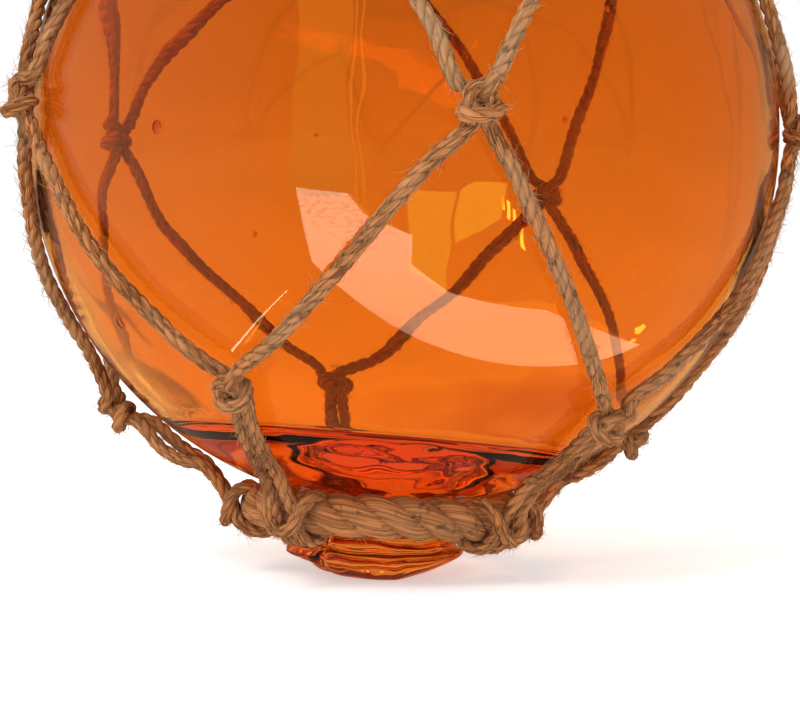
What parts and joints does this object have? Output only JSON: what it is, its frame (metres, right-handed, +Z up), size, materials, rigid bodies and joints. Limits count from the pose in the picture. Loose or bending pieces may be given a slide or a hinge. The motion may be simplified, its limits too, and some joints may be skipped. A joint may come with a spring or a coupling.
{
  "type": "netted glass fishing float",
  "caption": "Hollow blown ball of orange glass with a pressed glass seal, held in a knotted brown cord net gathered on a rope ring below and above.",
  "frame": {"origin": "on the small flat under the seal button, straight below the centre of the ball", "axes": "+Z up through the centre of the ball, -Y the front, +X to the right seen from the front"},
  "size_m": [0.1564, 0.1562, 0.175],
  "materials": {
    "orange_glass": "clear orange blown glass, gloss",
    "cord": "brown three-strand twisted jute cord, matt and hairy",
    "rope": "brown three-strand laid jute rope, matt and hairy"
  },
  "bodies": {
    "root": {"glass_float": "orange_glass", "rope_net": "cord", "lower_ring": "rope", "upper_ring": "rope"}
  },
  "joints": []
}
